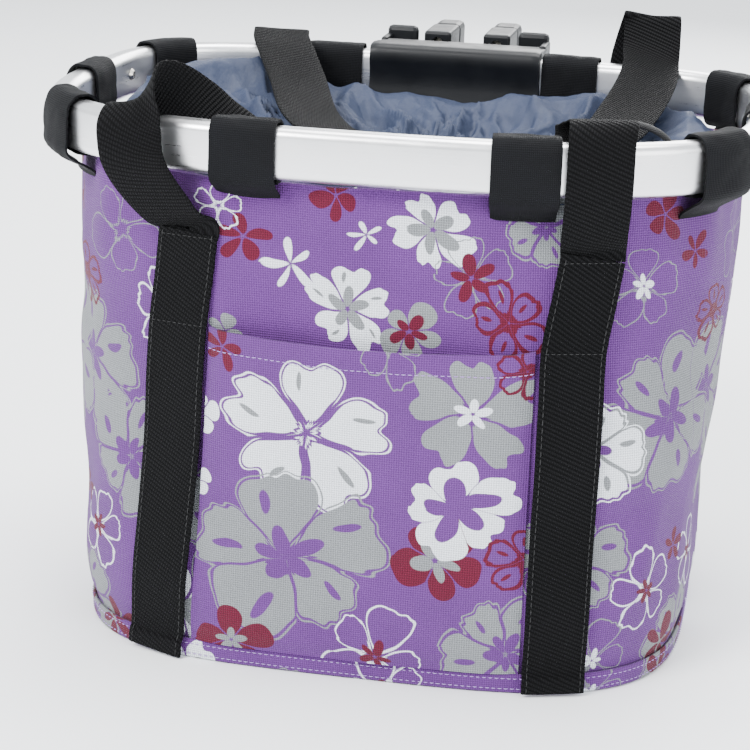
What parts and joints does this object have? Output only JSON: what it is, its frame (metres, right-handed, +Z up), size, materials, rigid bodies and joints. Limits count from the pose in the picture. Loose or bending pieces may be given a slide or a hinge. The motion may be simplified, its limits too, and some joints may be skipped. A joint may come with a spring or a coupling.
{
  "type": "handlebar basket",
  "caption": "Fabric basket hung from an oval aluminium rim, with two webbing handles, a drawstring cover, a front pocket and a quick-release handlebar bracket.",
  "frame": {"origin": "centre of the bag's flat bottom", "axes": "+Z up, -Y the bag's front, +Y the handlebar side, +X along the handlebar"},
  "size_m": [0.3526, 0.3322, 0.2928],
  "materials": {
    "aluminium": "satin, faint drawn lines",
    "steel": "nickel plated",
    "print_cloth": "coarse polyester weave with a flower print",
    "nylon": "thin coated nylon",
    "webbing": "ribbed webbing",
    "cord": "braided cord",
    "loop_cloth": "matte plain weave",
    "plastic": "fine moulded grain",
    "board": "matte",
    "rubber": "matte"
  },
  "bodies": {
    "basket": {"bag_floor": "print_cloth", "bag_lining": "nylon", "bag_wall": "print_cloth", "base_board": "board", "bottom_binding": "print_cloth", "bracket_front_shell": "plastic", "bracket_rear_shell": "plastic", "bracket_screw_left": "steel", "bracket_screw_right": "steel", "cord_lock_body": "plastic", "cord_lock_spring": "steel", "cover_hem": "nylon", "drawstring": "cord", "drawstring_cover": "nylon", "front_pocket": "print_cloth", "mouth_binding": "print_cloth", "release_spring": "steel", "rim_loop_back_corner_left": "loop_cloth", "rim_loop_back_corner_right": "loop_cloth", "rim_loop_back_left": "loop_cloth", "rim_loop_back_right": "loop_cloth", "rim_loop_front_corner_left": "loop_cloth", "rim_loop_front_corner_right": "loop_cloth", "rim_loop_front_left": "loop_cloth", "rim_loop_front_right": "loop_cloth", "rim_loop_side_left": "loop_cloth", "rim_loop_side_right": "loop_cloth", "rim_rivet_left": "steel", "rim_rivet_right": "steel", "rim_sleeve": "aluminium", "rim_tube": "aluminium", "strap_front_left": "webbing", "strap_front_right": "webbing", "strap_rear_left": "webbing", "strap_rear_right": "webbing"},
    "handle_front": {"handle_front": "webbing"},
    "handle_rear": {"handle_rear": "webbing"},
    "release_button": {"release_button": "plastic"},
    "latch": {"latch": "plastic"},
    "cord_lock_button": {"cord_lock_button": "plastic"},
    "adapter": {"adapter_body": "plastic", "clamp_cap_left": "plastic", "clamp_cap_right": "plastic", "clamp_liner_left_front": "rubber", "clamp_liner_left_rear": "rubber", "clamp_liner_right_front": "rubber", "clamp_liner_right_rear": "rubber", "clamp_nut_left_lower": "steel", "clamp_nut_left_upper": "steel", "clamp_nut_right_lower": "steel", "clamp_nut_right_upper": "steel", "clamp_screw_left_lower": "steel", "clamp_screw_left_upper": "steel", "clamp_screw_right_lower": "steel", "clamp_screw_right_upper": "steel"}
  },
  "joints": [
    {"name": "front_handle_swing", "type": "hinge", "parent": "basket", "child": "handle_front", "pos_m": [0, -0.1215, 0.2655], "axis": [1, 0, 0], "range_deg": [0, 95]},
    {"name": "rear_handle_swing", "type": "hinge", "parent": "basket", "child": "handle_rear", "pos_m": [0, 0.1215, 0.2655], "axis": [-1, 0, 0], "range_deg": [0, 95]},
    {"name": "adapter_lift_off", "type": "slide", "parent": "basket", "child": "adapter", "axis": [0, 0, -1], "range_m": [0, 0.055]},
    {"name": "button_press", "type": "slide", "parent": "basket", "child": "release_button", "axis": [0, 0, 1], "range_m": [0, 0.004], "stiffness_N_per_m": 600, "deforming": ["release_spring"]},
    {"name": "latch_retract", "type": "slide", "parent": "basket", "child": "latch", "axis": [0, -1, 0], "range_m": [0, 0.0035]},
    {"name": "lock_press", "type": "slide", "parent": "basket", "child": "cord_lock_button", "axis": [0, -1, 0], "range_m": [0, 0.003], "stiffness_N_per_m": 300, "deforming": ["cord_lock_spring"]}
  ],
  "couplings": [
    {"joint": "latch_retract", "follows": "button_press", "ratio": 0.875}
  ]
}
